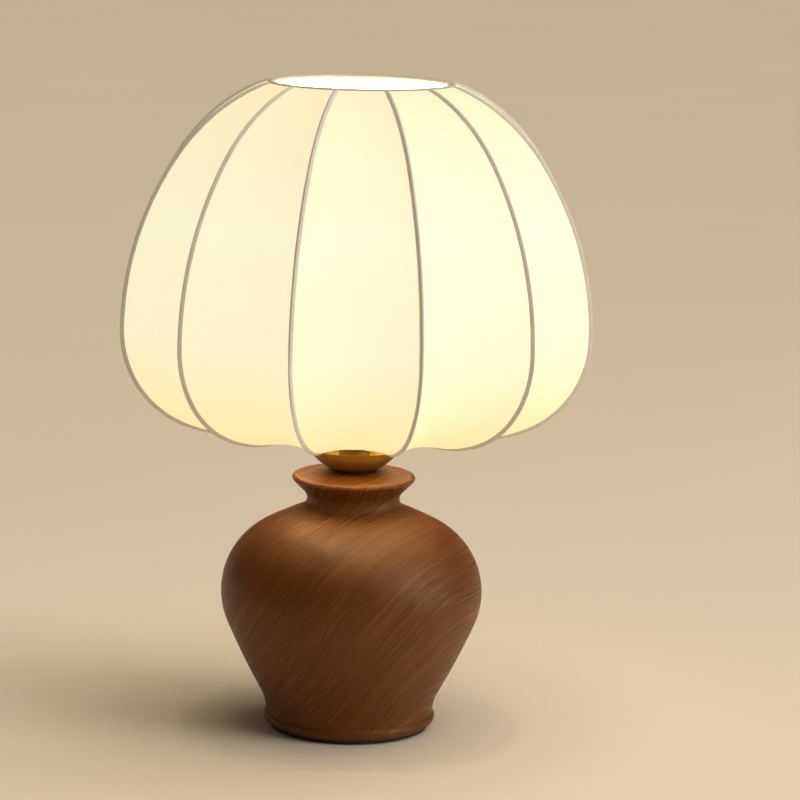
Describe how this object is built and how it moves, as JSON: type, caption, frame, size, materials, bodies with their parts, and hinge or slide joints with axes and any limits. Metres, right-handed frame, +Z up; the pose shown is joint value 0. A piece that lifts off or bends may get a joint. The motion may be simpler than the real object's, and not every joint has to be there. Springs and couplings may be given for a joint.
{
  "type": "table lamp",
  "caption": "Table lamp with a turned wooden vase base, a brass cup and a ribbed fabric lantern shade that swivels over a screw-in bulb.",
  "frame": {"origin": "centre of the foot pad's underside, on the surface the lamp stands on", "axes": "+Z up along the lamp's axis; -Y is the front and the cord outlet faces +Y"},
  "size_m": [0.2422, 0.2422, 0.3406],
  "materials": {
    "wood": "satin lacquer over stained wood",
    "pad": "matte foam rubber",
    "plate": "black powder coat",
    "screws": "bright zinc",
    "ballast": "rough casting",
    "zinc": "yellow zinc",
    "grommet": "matte",
    "neck": "dark bronze",
    "brass": "antique satin brass",
    "holder_brass": "satin brass",
    "ceramic": "glazed",
    "contacts": "bright",
    "solder": "dull solder",
    "insulator": "black glass",
    "bulb_cap": "nickel-plated",
    "bulb_housing": "fine matte",
    "led_board": "white solder mask",
    "globe": "opal, lit",
    "frame_wire": "white powder coat",
    "tape": "woven bias tape",
    "fabric": "stretched satin weave, lit from inside"
  },
  "bodies": {
    "base": {"base_body": "wood", "foot_pad": "pad", "bottom_plate": "plate", "bottom_plate_screws": "screws", "ballast_weight": "ballast", "weight_washer": "zinc", "weight_nut": "zinc", "cord_grommet": "grommet", "threaded_tube": "zinc", "neck_ring": "neck", "brass_cup": "brass", "cup_nut": "zinc", "holder_cap": "holder_brass", "holder_skirt": "holder_brass", "holder_insert": "ceramic", "terminal_screws": "screws", "centre_contact": "contacts", "screw_shell": "contacts", "shade_ring": "holder_brass"},
    "bulb_lift": {"bulb_contact": "solder"},
    "bulb": {"bulb_insulator": "insulator", "bulb_cap": "bulb_cap", "bulb_housing": "bulb_housing", "bulb_led_board": "led_board", "bulb_globe": "globe"},
    "shade": {"top_ring": "frame_wire", "bottom_ring": "frame_wire", "top_hem": "tape", "bottom_hem": "tape", "fitter_ring": "frame_wire", "fitter_arms": "frame_wire", "rib_01": "frame_wire", "rib_02": "frame_wire", "rib_03": "frame_wire", "rib_04": "frame_wire", "rib_05": "frame_wire", "rib_06": "frame_wire", "rib_07": "frame_wire", "rib_08": "frame_wire", "rib_09": "frame_wire", "rib_10": "frame_wire", "rib_11": "frame_wire", "rib_12": "frame_wire", "panel_01": "fabric", "panel_02": "fabric", "panel_03": "fabric", "panel_04": "fabric", "panel_05": "fabric", "panel_06": "fabric", "panel_07": "fabric", "panel_08": "fabric", "panel_09": "fabric", "panel_10": "fabric", "panel_11": "fabric", "panel_12": "fabric", "rib_tapes": "tape"}
  },
  "joints": [
    {"name": "shade_swivel", "type": "hinge", "parent": "base", "child": "shade", "pos_m": [0, 0, 0.1734], "axis": [0, 0, 1], "continuous": true},
    {"name": "bulb_rise", "type": "slide", "parent": "base", "child": "bulb_lift", "axis": [0, 0, 1], "range_m": [0, 0.01814]},
    {"name": "bulb_turn", "type": "hinge", "parent": "bulb_lift", "child": "bulb", "pos_m": [0, 0, 0.1697], "axis": [0, 0, 1], "range_deg": [0, 1800]}
  ],
  "couplings": [
    {"joint": "bulb_turn", "follows": "bulb_rise", "rad_per_m": 1731.4}
  ]
}
